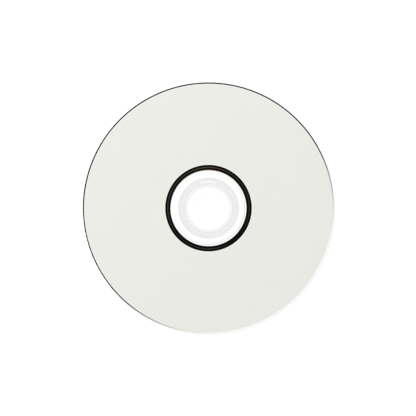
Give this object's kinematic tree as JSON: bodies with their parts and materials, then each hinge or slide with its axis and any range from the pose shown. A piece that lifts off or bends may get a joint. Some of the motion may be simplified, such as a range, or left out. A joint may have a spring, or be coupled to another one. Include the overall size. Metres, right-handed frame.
{
  "type": "compact disc",
  "caption": "Flat round optical disc with a centre hole, a clear moulded hub, a dark mirror ring and a matt white printable face.",
  "frame": {"origin": "centre of the hole, at the level of the surface that the disc rests on, which its stacking ring touches", "axes": "+Z along the disc's axis, out of the white label side; +Y towards the long smooth window of the hub's frosted band"},
  "size_m": [0.12, 0.12, 0.0014],
  "materials": {
    "clear_polycarbonate": "optically clear and glossy, frosted in one band of the hub",
    "mirror_film": "polished metal film under clear lacquer",
    "white_coat": "matt white ink-receptive coat"
  },
  "bodies": {
    "root": {"substrate": "clear_polycarbonate", "reflective_layer": "mirror_film", "print_coat": "white_coat"}
  },
  "joints": []
}
